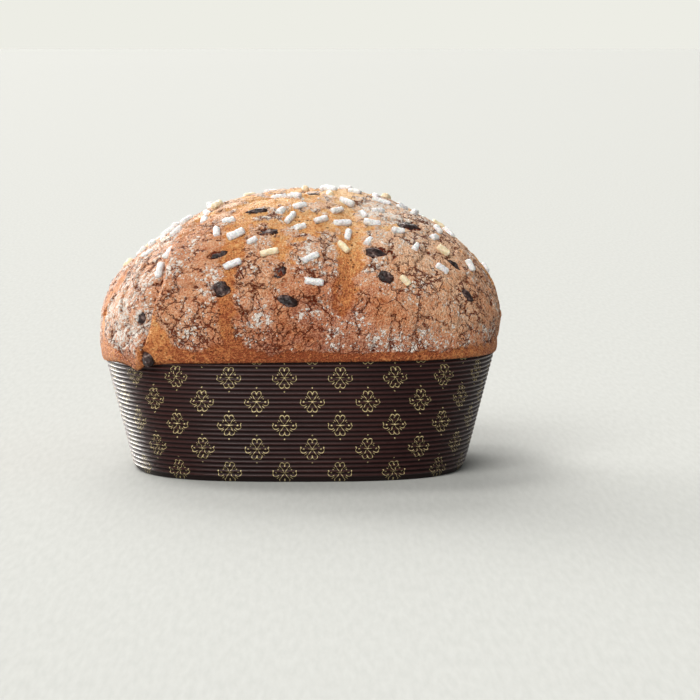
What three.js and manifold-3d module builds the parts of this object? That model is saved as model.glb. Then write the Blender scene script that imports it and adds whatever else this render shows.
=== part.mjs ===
// A low, domed panettone in its pleated paper case.
// The loaf fills the case, hangs over the rim as a soft lip and rises in an uneven dome.
// Chips of chocolate sit in pockets of the crust, and rods of pearl sugar are baked onto it.
// Millimetres, +Z up. The origin is the middle of the case's flat base, and -Y is the front.
// An azimuth is 0 at the front and grows towards +X. A rise is 0 at the dome's widest level
// and 90 at its top. Both are in degrees.

import * as THREE from 'three';
import { mergeVertices } from 'three/addons/utils/BufferGeometryUtils.js';
import Module from 'manifold-3d';

const wasm = await Module();
wasm.setup();

// Driving dimensions of the paper case
const CASE_BASE_RADIUS = 89.7;
const CASE_FLARE = 0.253;
const CASE_HEIGHT = 66;
const CASE_WALL = 1.3;
const CASE_FLOOR = 1.2;
const CASE_FOOT = 2.2;
const CASE_SQUARENESS = 2.9;
const RIDGE_PITCH = 2.5;
const RIDGE_DEPTH = 0.6;
const CASE_SEGMENTS = 36;
const CORNER_CROWDING = 0.3;

// Driving dimensions of the loaf
const DOME_RADIUS = 107.4;
const DOME_RISE = 78;
const WIDEST_LEVEL = 71.5;
const DOME_LEAN = 6;
const LIP_LEVEL = 61;
const LIP_SWAY = 3.4;
const LIP_SWAY_AZIMUTH = 20;
const LIP_CLEARANCE = 0.35;
const LIP_RISES = 10;
const LIP_RINGS = [-8.8, -4.5];
const GAP = 0.3;
const SKIN_SPACING = 6;
const ROW_SPACING = 0.9;

// Places where the soft dough ran down over the rim, and how far
const DROOPS = [
  { azimuth: -45.5, width: 3.5, drop: 4.5 },
  { azimuth: -86, width: 30, drop: 3 },
  { azimuth: 128, width: 9, drop: 2.2 },
  { azimuth: -155, width: 14, drop: 3 },
];

// The flap of dough that bulges over the rim on the left, around the lowest chip
const FLAP = { azimuth: -41.5, width: 5, bulge: 3.6, fadeTo: 8 };

// Broad hollows (negative) and humps of the dome, each a soft round spot
const SWELLS = [
  { azimuth: -88, rise: 40, width: 15, height: -3.3 },
  { azimuth: 88, rise: 71, width: 21, height: -1.5 },
  { azimuth: 84, rise: 16, width: 18, height: 3.5 },
  { azimuth: -70, rise: 80, width: 10, height: -3.8 },
  { azimuth: -28, rise: 16, width: 14, height: 1.6 },
  { azimuth: 34, rise: 20, width: 15, height: 1.5 },
  { azimuth: 168, rise: 24, width: 22, height: 1.6 },
  { azimuth: -140, rise: 40, width: 16, height: -2.2 },
  { azimuth: 130, rise: 44, width: 15, height: -1.8 },
];

// The fold on the left, where one lobe of dough rose over its neighbour
const FOLD = { azimuth: -41, lean: -17, from: 20, to: 55, step: 3, groove: 1.8, width: 2.4 };
const FOLD_REACH = { behind: 20, before: 12, fadeFrom: 52, fadeTo: 66 };
// The soft valley that runs up the front between two lobes
const VALLEY = { azimuth: 9, turn: 0.25, depth: 2.8, width: 9, from: 4, to: 74, fade: 14 };
// The plates of the cracked sugar and almond glaze, as low crags
const PLATES = { size: 13, depth: 1, groove: 2.1, lift: 0.8, from: 1, to: 9 };
// The relief grows from nothing at the lip to its whole height
const RELIEF_FADE = [-2, 9];

// Chips of chocolate: where each lies, its length, width and height, and its turn on the crust
const CHIPS = [
  { azimuth: -15.5, rise: 48, size: [12, 8, 6], turn: 20 },
  { azimuth: -29.5, rise: 37, size: [11, 6, 5], turn: 35 },
  { azimuth: -23.5, rise: 22, size: [10.5, 9, 8], turn: 0 },
  { azimuth: -7, rise: 29, size: [10, 7, 5], turn: 60 },
  { azimuth: -3.5, rise: 18, size: [11.5, 6, 5], turn: -20 },
  { azimuth: -45, rise: 10, size: [7, 6, 6], turn: 80 },
  { azimuth: 48, rise: 50, size: [15, 10, 6], turn: -15 },
  { azimuth: 25.5, rise: 38, size: [11, 7.5, 6], turn: -20 },
  { azimuth: 25.5, rise: 27, size: [9, 8.5, 8], turn: 0 },
  { azimuth: 52, rise: 30.5, size: [9, 5, 4.5], turn: -55 },
  { azimuth: 50, rise: 18, size: [9.5, 6.5, 5], turn: -40 },
  { azimuth: 3, rise: 78, size: [10, 6, 4], turn: 10 },
  { azimuth: 100, rise: 34, size: [11, 8, 6], turn: 25 },
  { azimuth: 138, rise: 22, size: [9, 8, 7], turn: -30 },
  { azimuth: 172, rise: 48, size: [12, 7, 6], turn: 50 },
  { azimuth: -28, rise: 59.5, size: [13, 5.5, 5], turn: 15 },
  { azimuth: -128, rise: 33, size: [10, 8, 6], turn: -45 },
  { azimuth: -98, rise: 18, size: [9, 7, 6], turn: 70 },
];
// One more chip lies low on the left, in the flap that hangs over the rim
const FLAP_CHIP = { azimuth: -40.5, rise: -7, size: [9, 7.5, 4.2], turn: -50 };
const CHIP_SINK = 0.22;
const CHIP_CLEARANCE = 0.35;
const CHIP_SEED = 11;

// Rods of pearl sugar: the longest come first, scattered by a seeded rule
const ROD_COUNT = 54;
const ROD_SEED = 7;
const ROD_RADIUS = 1.9;
const ROD_LENGTHS = [10.5, 6.5];
const ROD_LENGTH_RUN = 110;
const ROD_SIDES = 6;
const ROD_LIFT = 0.75;
const ROD_SPACING = 11.5;
const ROD_RISES = [12, 58];

const DEGREE = Math.PI / 180;

// Small number helpers
function smoothstep(low, high, value) {
  const t = Math.min(1, Math.max(0, (value - low) / (high - low)));
  return t * t * (3 - 2 * t);
}

function bell(distance, width) {
  return Math.exp(-((distance / width) ** 2));
}

function turnBetween(a, b) {
  return ((((a - b) % 360) + 540) % 360) - 180;
}

// A small seeded generator, so that each run scatters the same pieces in the same places
function seededRandom(seed) {
  let state = seed >>> 0;
  return () => {
    state = (state + 0x6d2b79f5) >>> 0;
    let t = state;
    t = Math.imul(t ^ (t >>> 15), t | 1);
    t ^= t + Math.imul(t ^ (t >>> 7), t | 61);
    return ((t ^ (t >>> 14)) >>> 0) / 4294967296;
  };
}

// The rounded square that the case has in plan, as a factor on its half width
function squareness(azimuth, exponent) {
  const s = Math.abs(Math.sin(azimuth * DEGREE)) ** exponent;
  const c = Math.abs(Math.cos(azimuth * DEGREE)) ** exponent;
  return (s + c) ** (-1 / exponent);
}

function polar(azimuth, radius, z) {
  const a = azimuth * DEGREE;
  return new THREE.Vector3(radius * Math.sin(a), -radius * Math.cos(a), z);
}

function wallRadius(z) {
  return CASE_BASE_RADIUS + CASE_FLARE * z;
}

// A point on the case's wall, moved out by offset
function wallPoint(azimuth, z, offset) {
  return polar(azimuth, (wallRadius(z) + offset) * squareness(azimuth, CASE_SQUARENESS), z);
}

// How low the dough's lip hangs at an azimuth
function lipLevel(azimuth) {
  let level = LIP_LEVEL + LIP_SWAY * Math.cos((azimuth - LIP_SWAY_AZIMUTH) * DEGREE);
  for (const droop of DROOPS) {
    level -= droop.drop * bell(turnBetween(azimuth, droop.azimuth), droop.width);
  }
  return level;
}

// A repeatable number from 0 to 1 for a cell of a 3-D grid
function cellNumber(i, j, k, salt) {
  const s = Math.sin(i * 127.1 + j * 311.7 + k * 74.7 + salt * 53.3) * 43758.5453;
  return s - Math.floor(s);
}

// Distances to the two nearest scattered seeds, and the number of the nearest one's cell
function nearestSeeds(point, size) {
  const x = point.x / size;
  const y = point.y / size;
  const z = point.z / size;
  let first = 9;
  let second = 9;
  let number = 0;
  for (let i = -1; i <= 1; i++) {
    for (let j = -1; j <= 1; j++) {
      for (let k = -1; k <= 1; k++) {
        const ci = Math.floor(x) + i;
        const cj = Math.floor(y) + j;
        const ck = Math.floor(z) + k;
        const dx = ci + cellNumber(ci, cj, ck, 1) - x;
        const dy = cj + cellNumber(ci, cj, ck, 2) - y;
        const dz = ck + cellNumber(ci, cj, ck, 3) - z;
        const d = Math.sqrt(dx * dx + dy * dy + dz * dz);
        if (d < first) {
          second = first;
          first = d;
          number = cellNumber(ci, cj, ck, 4);
        } else if (d < second) {
          second = d;
        }
      }
    }
  }
  return { edge: (second - first) * size, number };
}

// Height of the crust's relief over the plain dome
function relief(azimuth, rise, point) {
  const arc = DOME_RADIUS * DEGREE * Math.cos(rise * DEGREE);
  let height = 0;

  // Slow waves, so that no stretch of the dome is a plain curve
  height += 1.1 * Math.sin(point.x / 21 + 0.6) * Math.cos(point.y / 18 - 0.4);
  height += 0.8 * Math.sin(point.y / 13 + point.z / 15 + 1.3) * Math.cos(point.x / 14);

  for (const swell of SWELLS) {
    const across = turnBetween(azimuth, swell.azimuth) * Math.cos(rise * DEGREE);
    height += swell.height * bell(Math.hypot(across, rise - swell.rise), swell.width);
  }

  const foldRun = smoothstep(FOLD.from, FOLD.to, rise);
  const fromFold = turnBetween(azimuth, FOLD.azimuth + FOLD.lean * foldRun) * arc;
  const foldFade = 1 - smoothstep(FOLD_REACH.fadeFrom, FOLD_REACH.fadeTo, rise);
  const step = fromFold < 0
    ? -Math.exp(fromFold / FOLD_REACH.behind)
    : 0.5 * Math.exp(-fromFold / FOLD_REACH.before);
  height += foldFade * FOLD.step * step;
  height -= foldFade * FOLD.groove * bell(fromFold + 1, FOLD.width);

  const fromValley = turnBetween(azimuth, VALLEY.azimuth + VALLEY.turn * rise) * arc;
  const valleyFade = smoothstep(VALLEY.from, VALLEY.from + VALLEY.fade, rise)
    * (1 - smoothstep(VALLEY.to - VALLEY.fade, VALLEY.to, rise));
  height -= valleyFade * VALLEY.depth * bell(fromValley, VALLEY.width);

  const plates = nearestSeeds(point, PLATES.size);
  const plateFade = smoothstep(PLATES.from, PLATES.to, rise);
  height += plateFade * PLATES.lift * (2 * plates.number - 1);
  height -= plateFade * PLATES.depth * bell(plates.edge, PLATES.groove);

  return height * smoothstep(RELIEF_FADE[0], RELIEF_FADE[1], rise);
}

// A point on the crust. Below the widest level, rise runs from 0 to -10 at the lip's edge.
function crustPoint(azimuth, rise) {
  const flap = FLAP.bulge * bell(turnBetween(azimuth, FLAP.azimuth), FLAP.width);
  if (rise < 0) {
    const down = -rise / LIP_RISES;
    const edge = lipLevel(azimuth);
    const z = WIDEST_LEVEL + (edge - WIDEST_LEVEL) * down;
    const inner = wallRadius(z) + LIP_CLEARANCE;
    const thickness = (DOME_RADIUS + flap - inner) * Math.sqrt(1 - down ** 2);
    return polar(azimuth, (inner + thickness) * squareness(azimuth, CASE_SQUARENESS), z);
  }
  const c = Math.cos(rise * DEGREE);
  const s = Math.sin(rise * DEGREE);
  const radius = DOME_RADIUS * c * squareness(azimuth, 2 + (CASE_SQUARENESS - 2) * c);
  const plain = polar(azimuth, radius, WIDEST_LEVEL + DOME_RISE * s);
  plain.x += DOME_LEAN * s * s;
  const out = domeNormal(azimuth, rise);
  const height = relief(azimuth, rise, plain) + flap * (1 - smoothstep(0, FLAP.fadeTo, rise));
  return plain.addScaledVector(out, height);
}

// Direction straight out of the plain dome
function domeNormal(azimuth, rise) {
  const up = Math.sin(rise * DEGREE) / DOME_RISE;
  const out = Math.cos(rise * DEGREE) / DOME_RADIUS;
  return polar(azimuth, out, up).normalize();
}

// The azimuths that the case and the loaf inside it share, closer together at the corners
function sharedAzimuths() {
  const azimuths = [];
  for (let i = 0; i < CASE_SEGMENTS; i++) {
    const u = (i * 360) / CASE_SEGMENTS;
    azimuths.push(u + (CORNER_CROWDING / 4 / DEGREE) * Math.sin(4 * u * DEGREE));
  }
  return azimuths;
}

function evenAzimuths(count, start) {
  return Array.from({ length: count }, (_, i) => ((i + start) * 360) / count);
}

// Closes a stack of rings into one body. Each ring is a list of azimuths and of points,
// and the stack runs from the middle of the underside, outwards and up, to its last centre.
function stackRings(rings, firstCentre, lastCentre) {
  const positions = [];
  const triangles = [];
  const starts = [];
  const put = (p) => positions.push(p.x, p.y, p.z) / 3 - 1;
  for (const ring of rings) {
    starts.push(positions.length / 3);
    ring.points.forEach(put);
  }
  const first = put(firstCentre);
  const last = put(lastCentre);

  rings.slice(1).forEach((upper, index) => {
    const lower = rings[index];
    const n = lower.points.length;
    const m = upper.points.length;
    let i = 0;
    let j = 0;
    while (i < n || j < m) {
      const a = starts[index] + (i % n);
      const b = starts[index + 1] + (j % m);
      const nextLower = i < n ? (lower.azimuths[i + 1] ?? lower.azimuths[0] + 360) : Infinity;
      const nextUpper = j < m ? (upper.azimuths[j + 1] ?? upper.azimuths[0] + 360) : Infinity;
      if (nextLower <= nextUpper) {
        i++;
        triangles.push(a, starts[index] + (i % n), b);
      } else {
        j++;
        triangles.push(a, starts[index + 1] + (j % m), b);
      }
    }
  });

  const bottom = rings[0].points.length;
  for (let i = 0; i < bottom; i++) {
    triangles.push(first, starts[0] + ((i + 1) % bottom), starts[0] + i);
  }
  const top = rings[rings.length - 1].points.length;
  const base = starts[rings.length - 1];
  for (let i = 0; i < top; i++) {
    triangles.push(last, base + i, base + ((i + 1) % top));
  }

  const geometry = new THREE.BufferGeometry();
  geometry.setAttribute('position', new THREE.Float32BufferAttribute(positions, 3));
  geometry.setIndex(triangles);
  return geometry;
}

function ringOf(azimuths, place) {
  return { azimuths, points: azimuths.map(place) };
}

// The paper case: a flat base, a rounded foot, a wall of level pleats and a plain inside
function buildCase() {
  const azimuths = sharedAzimuths();
  const rings = [
    ringOf(azimuths, (a) => wallPoint(a, 0, -CASE_FOOT)),
    ringOf(azimuths, (a) => wallPoint(a, 0.35 * CASE_FOOT, -0.35 * CASE_FOOT)),
  ];
  const ridges = Math.round((CASE_HEIGHT - CASE_FOOT) / RIDGE_PITCH);
  const pitch = (CASE_HEIGHT - CASE_FOOT) / ridges;
  for (let k = 0; k < ridges; k++) {
    const z = CASE_FOOT + k * pitch;
    rings.push(ringOf(azimuths, (a) => wallPoint(a, z, -RIDGE_DEPTH)));
    rings.push(ringOf(azimuths, (a) => wallPoint(a, z + pitch / 2, 0)));
  }
  rings.push(ringOf(azimuths, (a) => wallPoint(a, CASE_HEIGHT, -RIDGE_DEPTH)));
  rings.push(ringOf(azimuths, (a) => wallPoint(a, CASE_HEIGHT, -CASE_WALL)));
  rings.push(ringOf(azimuths, (a) => wallPoint(a, CASE_FOOT + CASE_FLOOR, -CASE_WALL)));
  rings.push(ringOf(azimuths, (a) => wallPoint(a, CASE_FLOOR, -CASE_WALL - CASE_FOOT)));
  return stackRings(rings, new THREE.Vector3(0, 0, 0), new THREE.Vector3(0, 0, CASE_FLOOR));
}

// The bare loaf: the part inside the case, the slot over the rim, the lip and the dome
function buildLoafBody() {
  const azimuths = sharedAzimuths();
  const inside = -CASE_WALL - GAP;
  const floor = CASE_FLOOR + GAP;
  const rings = [
    ringOf(azimuths, (a) => wallPoint(a, floor, inside - CASE_FOOT)),
    ringOf(azimuths, (a) => wallPoint(a, floor + CASE_FOOT, inside)),
    ringOf(azimuths, (a) => wallPoint(a, CASE_HEIGHT + GAP, inside)),
    ringOf(azimuths, (a) => wallPoint(a, CASE_HEIGHT + GAP, LIP_CLEARANCE)),
    ringOf(azimuths, (a) => wallPoint(a, lipLevel(a), LIP_CLEARANCE)),
  ];
  const around = (radius) => Math.round((2 * Math.PI * radius * 1.06) / SKIN_SPACING);
  for (const rise of LIP_RINGS) {
    rings.push(ringOf(evenAzimuths(around(DOME_RADIUS), 0), (a) => crustPoint(a, rise)));
  }

  // Levels of the dome, a skin spacing apart along its curve
  let rise = 0;
  let odd = false;
  while (rise < 88) {
    const level = rise;
    const radius = DOME_RADIUS * Math.cos(rise * DEGREE);
    const count = Math.max(6, around(radius));
    rings.push(ringOf(evenAzimuths(count, odd ? 0.5 : 0), (a) => crustPoint(a, level)));
    const along = Math.hypot(DOME_RADIUS * Math.sin(rise * DEGREE), DOME_RISE * Math.cos(rise * DEGREE));
    rise += (SKIN_SPACING * ROW_SPACING) / (along * DEGREE);
    odd = !odd;
  }
  return stackRings(rings, new THREE.Vector3(0, 0, floor), crustPoint(0, 90));
}

// Stands a piece that was made lying along X onto the crust, turned and lifted off it
function standOnCrust(geometry, azimuth, rise, turn, lift) {
  const out = rise < 0 ? polar(azimuth, 1, 0) : domeNormal(azimuth, rise);
  const east = new THREE.Vector3(0, 0, 1).cross(out).normalize();
  const north = out.clone().cross(east);
  const place = new THREE.Matrix4().makeBasis(east, north, out);
  place.multiply(new THREE.Matrix4().makeRotationZ(turn * DEGREE));
  place.setPosition(crustPoint(azimuth, rise).addScaledVector(out, lift));
  return geometry.applyMatrix4(place);
}

function weld(geometry) {
  geometry.deleteAttribute('normal');
  geometry.deleteAttribute('uv');
  return mergeVertices(geometry, 1e-4);
}

// A chip of chocolate: a lump with uneven, blunt corners, drawn out to its three sizes
function buildChip(chip, seed, growth) {
  const random = seededRandom(seed);
  const geometry = weld(new THREE.OctahedronGeometry(1, 1));
  const position = geometry.getAttribute('position');
  const half = chip.size.map((length) => length / 2 + growth);
  const corner = new THREE.Vector3();
  for (let i = 0; i < position.count; i++) {
    corner.fromBufferAttribute(position, i).multiplyScalar(0.86 + 0.22 * random());
    position.setXYZ(i, corner.x * half[0], corner.y * half[1], corner.z * half[2]);
  }
  return standOnCrust(geometry, chip.azimuth, chip.rise, chip.turn, -CHIP_SINK * chip.size[2]);
}

// Where the sugar rods lie: more of them near the top, none close to a chip or to each other
function scatterRods(count, chips) {
  const random = seededRandom(ROD_SEED);
  const taken = chips.map((chip) => ({
    point: crustPoint(chip.azimuth, chip.rise),
    reach: chip.size[0] / 2 + 1.2,
  }));
  const rods = [];
  while (rods.length < count) {
    const azimuth = 360 * random() - 180;
    const rise = Math.asin(random()) / DEGREE;
    const turn = 180 * random();
    const stretch = random();
    const chance = random();
    const run = Math.min(1, rods.length / ROD_LENGTH_RUN);
    const length = ROD_LENGTHS[0] + (ROD_LENGTHS[1] - ROD_LENGTHS[0]) * run + 2 * stretch - 1;
    const likely = smoothstep(ROD_RISES[0], ROD_RISES[1], rise);
    const point = crustPoint(azimuth, rise);
    const clear = taken.every((other) => other.point.distanceTo(point) > other.reach + length / 2);
    if (chance < likely && rise < 86 && clear) {
      rods.push({ azimuth, rise, turn, length });
      taken.push({ point, reach: ROD_SPACING - length / 2 });
    }
  }
  return rods;
}

function buildRod(rod) {
  const geometry = new THREE.CylinderGeometry(ROD_RADIUS, ROD_RADIUS, rod.length, ROD_SIDES, 1);
  geometry.rotateZ(Math.PI / 2);
  return standOnCrust(weld(geometry), rod.azimuth, rod.rise, rod.turn, ROD_LIFT);
}

// Solids for joining and cutting, and back again
function toSolid(geometry) {
  const vertProperties = new Float32Array(geometry.getAttribute('position').array);
  const triVerts = new Uint32Array(geometry.getIndex().array);
  return new wasm.Manifold(new wasm.Mesh({ numProp: 3, vertProperties, triVerts }));
}

function fromSolid(solid) {
  const mesh = solid.getMesh();
  const geometry = new THREE.BufferGeometry();
  geometry.setAttribute('position', new THREE.Float32BufferAttribute(mesh.vertProperties, 3));
  geometry.setIndex(Array.from(mesh.triVerts));
  return geometry;
}

function largestPart(solid) {
  return solid.decompose().reduce((best, part) => (part.volume() > best.volume() ? part : best));
}

// The loaf with its pockets cut and its sugar joined on
function buildLoaf(chips) {
  let loaf = toSolid(buildLoafBody());
  chips.forEach((chip, index) => {
    loaf = loaf.subtract(toSolid(buildChip(chip, CHIP_SEED + index, CHIP_CLEARANCE)));
  });
  for (const rod of scatterRods(ROD_COUNT, chips)) {
    loaf = loaf.add(toSolid(buildRod(rod)));
  }
  return fromSolid(largestPart(loaf));
}

// Finishes, by colour, roughness and metalness
const crust = new THREE.MeshStandardMaterial({ color: 0xa9724e, roughness: 0.72, metalness: 0 });
const paper = new THREE.MeshStandardMaterial({ color: 0x3b2925, roughness: 0.42, metalness: 0 });
const chocolate = new THREE.MeshStandardMaterial({ color: 0x35201a, roughness: 0.5, metalness: 0 });

function addPiece(group, name, geometry, material) {
  const mesh = new THREE.Mesh(geometry, material);
  mesh.name = name;
  group.add(mesh);
}

const panettone = new THREE.Group();
const chips = [...CHIPS, FLAP_CHIP];
addPiece(panettone, 'paper_case', buildCase(), paper);
addPiece(panettone, 'loaf', buildLoaf(chips), crust);
chips.forEach((chip, index) => {
  const name = `chocolate_${String(index + 1).padStart(2, '0')}`;
  addPiece(panettone, name, buildChip(chip, CHIP_SEED + index, 0), chocolate);
});

export default panettone;
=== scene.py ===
# %% [markdown]
# # A panettone in its paper case
#
# A low panettone is a rich, sweet loaf. It is baked in a stiff paper case, rises out of it as a
# dome, and hangs over the rim a little. This one carries a cracked almond and sugar glaze, short
# rods of pearl sugar and chips of dark chocolate. The solids of the loaf, the case and the chips
# are loaded as a fixed frame. Everything below adds what makes them look real: fine relief,
# the right surfaces, light and a camera.

# %% Load the fixed frame
import math
from functools import partial

import bmesh
import bpy
import numpy as np
from mathutils import Matrix, Vector


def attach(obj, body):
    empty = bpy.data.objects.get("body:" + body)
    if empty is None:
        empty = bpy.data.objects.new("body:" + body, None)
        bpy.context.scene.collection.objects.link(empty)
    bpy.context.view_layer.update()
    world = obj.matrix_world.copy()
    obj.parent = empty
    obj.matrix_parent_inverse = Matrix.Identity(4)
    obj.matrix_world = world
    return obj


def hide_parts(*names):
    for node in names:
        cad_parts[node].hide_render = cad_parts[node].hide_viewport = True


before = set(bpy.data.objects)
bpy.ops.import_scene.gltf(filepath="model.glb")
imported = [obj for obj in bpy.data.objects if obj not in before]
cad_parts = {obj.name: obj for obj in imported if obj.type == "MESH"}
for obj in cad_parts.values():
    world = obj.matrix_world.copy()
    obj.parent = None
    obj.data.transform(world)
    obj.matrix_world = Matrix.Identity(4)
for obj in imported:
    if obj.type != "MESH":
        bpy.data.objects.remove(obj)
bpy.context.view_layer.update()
print("nodes in the frame:", len(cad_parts))

# %% [markdown]
# ## Sizes that the solids are built from
#
# The loaf and the case follow a few named sizes. They are given in millimetres and degrees.
# An azimuth is 0 at the front (-Y) and grows towards +X. A rise is 0 at the dome's widest level
# and 90 at its top. Below the widest level it runs to -10 at the edge of the dough's lip. With
# the same sizes and formulas here, the fine surface lies on the solids exactly.

# %% Sizes of the case and the loaf
MM = 0.001
CASE_BASE_RADIUS, CASE_FLARE, CASE_HEIGHT = 89.7, 0.253, 66.0
CASE_WALL, CASE_FLOOR, CASE_FOOT, CASE_SQUARENESS = 1.3, 1.2, 2.2, 2.9
RIDGE_PITCH = 2.5
DOME_RADIUS, DOME_RISE, WIDEST_LEVEL, DOME_LEAN = 107.4, 78.0, 71.5, 6.0
LIP_LEVEL, LIP_SWAY, LIP_SWAY_AZIMUTH, LIP_CLEARANCE, LIP_RISES = 61.0, 3.4, 20.0, 0.35, 10.0
GAP = 0.3

# Droops of the lip: azimuth, width in degrees, drop in millimetres
DROOPS = [(-45.5, 3.5, 4.5), (-86, 30, 3), (128, 9, 2.2), (-155, 14, 3)]
# The flap of dough that bulges over the rim on the left: azimuth, width, bulge, fade
FLAP_AZIMUTH, FLAP_WIDTH, FLAP_BULGE, FLAP_FADE = -41.5, 5.0, 3.6, 8.0
# Broad hollows and humps of the dome: azimuth, rise, width in degrees, height
SWELLS = [
    (-88, 40, 15, -3.3), (88, 71, 21, -1.5), (84, 16, 18, 3.5), (-70, 80, 10, -3.8),
    (-28, 16, 14, 1.6), (34, 20, 15, 1.5), (168, 24, 22, 1.6), (-140, 40, 16, -2.2),
    (130, 44, 15, -1.8),
]
# Chips of chocolate: azimuth, rise, length, width, height, turn
CHIPS = [
    (-15.5, 48, 12, 8, 6, 20), (-29.5, 37, 11, 6, 5, 35), (-23.5, 22, 10.5, 9, 8, 0),
    (-7, 29, 10, 7, 5, 60), (-3.5, 18, 11.5, 6, 5, -20), (-45, 10, 7, 6, 6, 80),
    (48, 50, 15, 10, 6, -15), (25.5, 38, 11, 7.5, 6, -20), (25.5, 27, 9, 8.5, 8, 0),
    (52, 30.5, 9, 5, 4.5, -55), (50, 18, 9.5, 6.5, 5, -40), (3, 78, 10, 6, 4, 10),
    (100, 34, 11, 8, 6, 25), (138, 22, 9, 8, 7, -30), (172, 48, 12, 7, 6, 50),
    (-28, 59.5, 13, 5.5, 5, 15), (-128, 33, 10, 8, 6, -45), (-98, 18, 9, 7, 6, 70),
    (-40.5, -7, 9, 7.5, 4.2, -50),
]

# %% [markdown]
# ## Three helpers
#
# Colours are written as sRGB hex values, as a paint chart or a photo gives them. Shaders work in
# linear light, so one function turns a hex value to linear. One more function adds a node to any
# tree with its inputs and settings, so that each material below reads as a list of layers. The
# last one makes a material and hands its builder what every material starts from.

# %% Names of the nodes that come up often
VECTOR_MATH, SPLIT, JOIN = "ShaderNodeVectorMath", "ShaderNodeSeparateXYZ", "ShaderNodeCombineXYZ"
RANGE, MIX, COLOURS = "ShaderNodeMapRange", "ShaderNodeMix", {"data_type": "RGBA"}
NOISE, RAMP, VORONOI = "ShaderNodeTexNoise", "ShaderNodeValToRGB", "ShaderNodeTexVoronoi"
BUMP, SHADER, ATTRIBUTE = "ShaderNodeBump", "ShaderNodeBsdfPrincipled", "ShaderNodeAttribute"


# %% Helpers for colours and nodes
def tint(hex_value):
    """Turns an sRGB hex value into a linear colour."""
    parts = [int(hex_value[i:i + 2], 16) / 255 for i in (1, 3, 5)]
    return (*(c / 12.92 if c <= 0.04045 else ((c + 0.055) / 1.055) ** 2.4 for c in parts), 1.0)


def add(tree, kind, inputs=None, settings=None):
    """Adds a node. A kind may be a maths operation, and inputs a list in the sockets' order."""
    if kind.isupper():
        kind, settings = "ShaderNodeMath", kind
    node = tree.nodes.new(kind)
    settings = {"operation": settings} if isinstance(settings, str) else dict(settings or {})
    stops = settings.pop("stops", [])
    for name, value in settings.items():
        setattr(node, name, value)
    for place, _ in stops[2:]:
        node.color_ramp.elements.new(place)
    for (place, colour), element in zip(stops, list(node.color_ramp.elements) if stops else []):
        element.position, element.color = place, tint(colour)
    usable = [socket for socket in node.inputs if socket.enabled]
    if isinstance(inputs, dict):
        named = {socket.name: socket for socket in reversed(usable)}
        pairs = [(named[name], value) for name, value in inputs.items()]
    else:
        pairs = zip(usable, inputs or [])
    for socket, value in pairs:
        if isinstance(value, bpy.types.Node):
            value = next(s for s in value.outputs if s.enabled)
        if isinstance(value, bpy.types.NodeSocket):
            tree.links.new(value, socket)
        else:
            socket.default_value = value
    return node


def finish_material(name, build):
    """Makes a material.

    The build function is given the adder of nodes and the place on the object in metres, and
    returns the shader.
    """
    material = bpy.data.materials.new(name)
    material.use_nodes = True
    material.node_tree.nodes.clear()
    node = partial(add, material.node_tree)
    place = node("ShaderNodeTexCoord").outputs["Object"]
    node("ShaderNodeOutputMaterial", {"Surface": build(node, place)})
    return material


# %% [markdown]
# ## Camera
#
# The picture was taken with a long lens from a little above the table, looking almost level at
# the front of the case. The camera stands 1.8 m away at the height found from the photo's
# perspective, and is aimed so that the loaf falls on the same place in a square frame.

# %% Camera
CAMERA_PLACE = Vector((0.0, -1.8, 0.2266))
CAMERA_AIM = Vector((0.0277, 0.0, 0.0609))
PIXELS_WIDE, FOCAL_PIXELS, SENSOR = 700, 3312, 36.0


def place_object(name, data):
    """Makes an object and puts it into the scene."""
    thing = bpy.data.objects.new(name, data)
    bpy.context.scene.collection.objects.link(thing)
    return thing


camera = place_object("camera", bpy.data.cameras.new("camera"))
camera.data.sensor_width = SENSOR
camera.data.lens = SENSOR * FOCAL_PIXELS / PIXELS_WIDE
camera.data.clip_end = 500.0
camera.location = CAMERA_PLACE
camera.rotation_euler = (CAMERA_AIM - CAMERA_PLACE).to_track_quat("-Z", "Y").to_euler()
bpy.context.scene.camera = camera
print("lens in mm:", round(camera.data.lens, 1))

# %% [markdown]
# ## Floor and light
#
# A pale floor runs far past the frame, under an even, nearly white sky. Four suns with a very wide
# angle act as large soft boxes, above, behind, on the left and in front. A sun lights the near
# and the far floor alike, so no edge shows where the floor ends. The Standard view keeps the
# rendered colours comparable with the photo's.


# %% Floor and light
FLOOR_REACH, FLOOR_GRAIN = 200.0, (380.0, 48.0, 1.0)


def floor_finish(node, place):
    """Matt, off-white studio paper, with a grain that is longer towards the camera."""
    place = node(VECTOR_MATH, [place, FLOOR_GRAIN], "MULTIPLY")
    mottle = node(NOISE, {"Vector": place, "Scale": 1.0, "Detail": 3.0})
    colour = node(RAMP, {"Fac": mottle}, {"stops": [(0.3, "#b3b5b3"), (0.7, "#babcba")]})
    return node(SHADER, {"Base Color": colour, "Roughness": 0.95, "Specular IOR Level": 0.1})


def new_mesh(name, points, faces=()):
    """Makes a smooth mesh from points in metres."""
    mesh = bpy.data.meshes.new(name)
    mesh.from_pydata(np.asarray(points).tolist(), [], faces)
    mesh.shade_smooth()
    return mesh


corners = [(-1, -1, 0), (1, -1, 0), (1, 1, 0), (-1, 1, 0)]
corners = np.array(corners) * FLOOR_REACH
floor = place_object("studio_floor", new_mesh("studio_floor", corners, [(0, 1, 2, 3)]))
floor.data.materials.append(finish_material("matt studio paper", floor_finish))

# The sky lights the scene softly, and looks as pale as the floor where the camera sees it
world = bpy.data.worlds.new("soft studio sky")
world.use_nodes = True
sky_node = partial(add, world.node_tree)
seen = sky_node("ShaderNodeLightPath").outputs["Is Camera Ray"]
sky_colour = sky_node(MIX, [seen, tint("#949492"), tint("#edede5")], COLOURS)
world.node_tree.links.new(next(o for o in sky_colour.outputs if o.enabled),
                          world.node_tree.nodes["Background"].inputs["Color"])
bpy.context.scene.world = world

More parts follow.
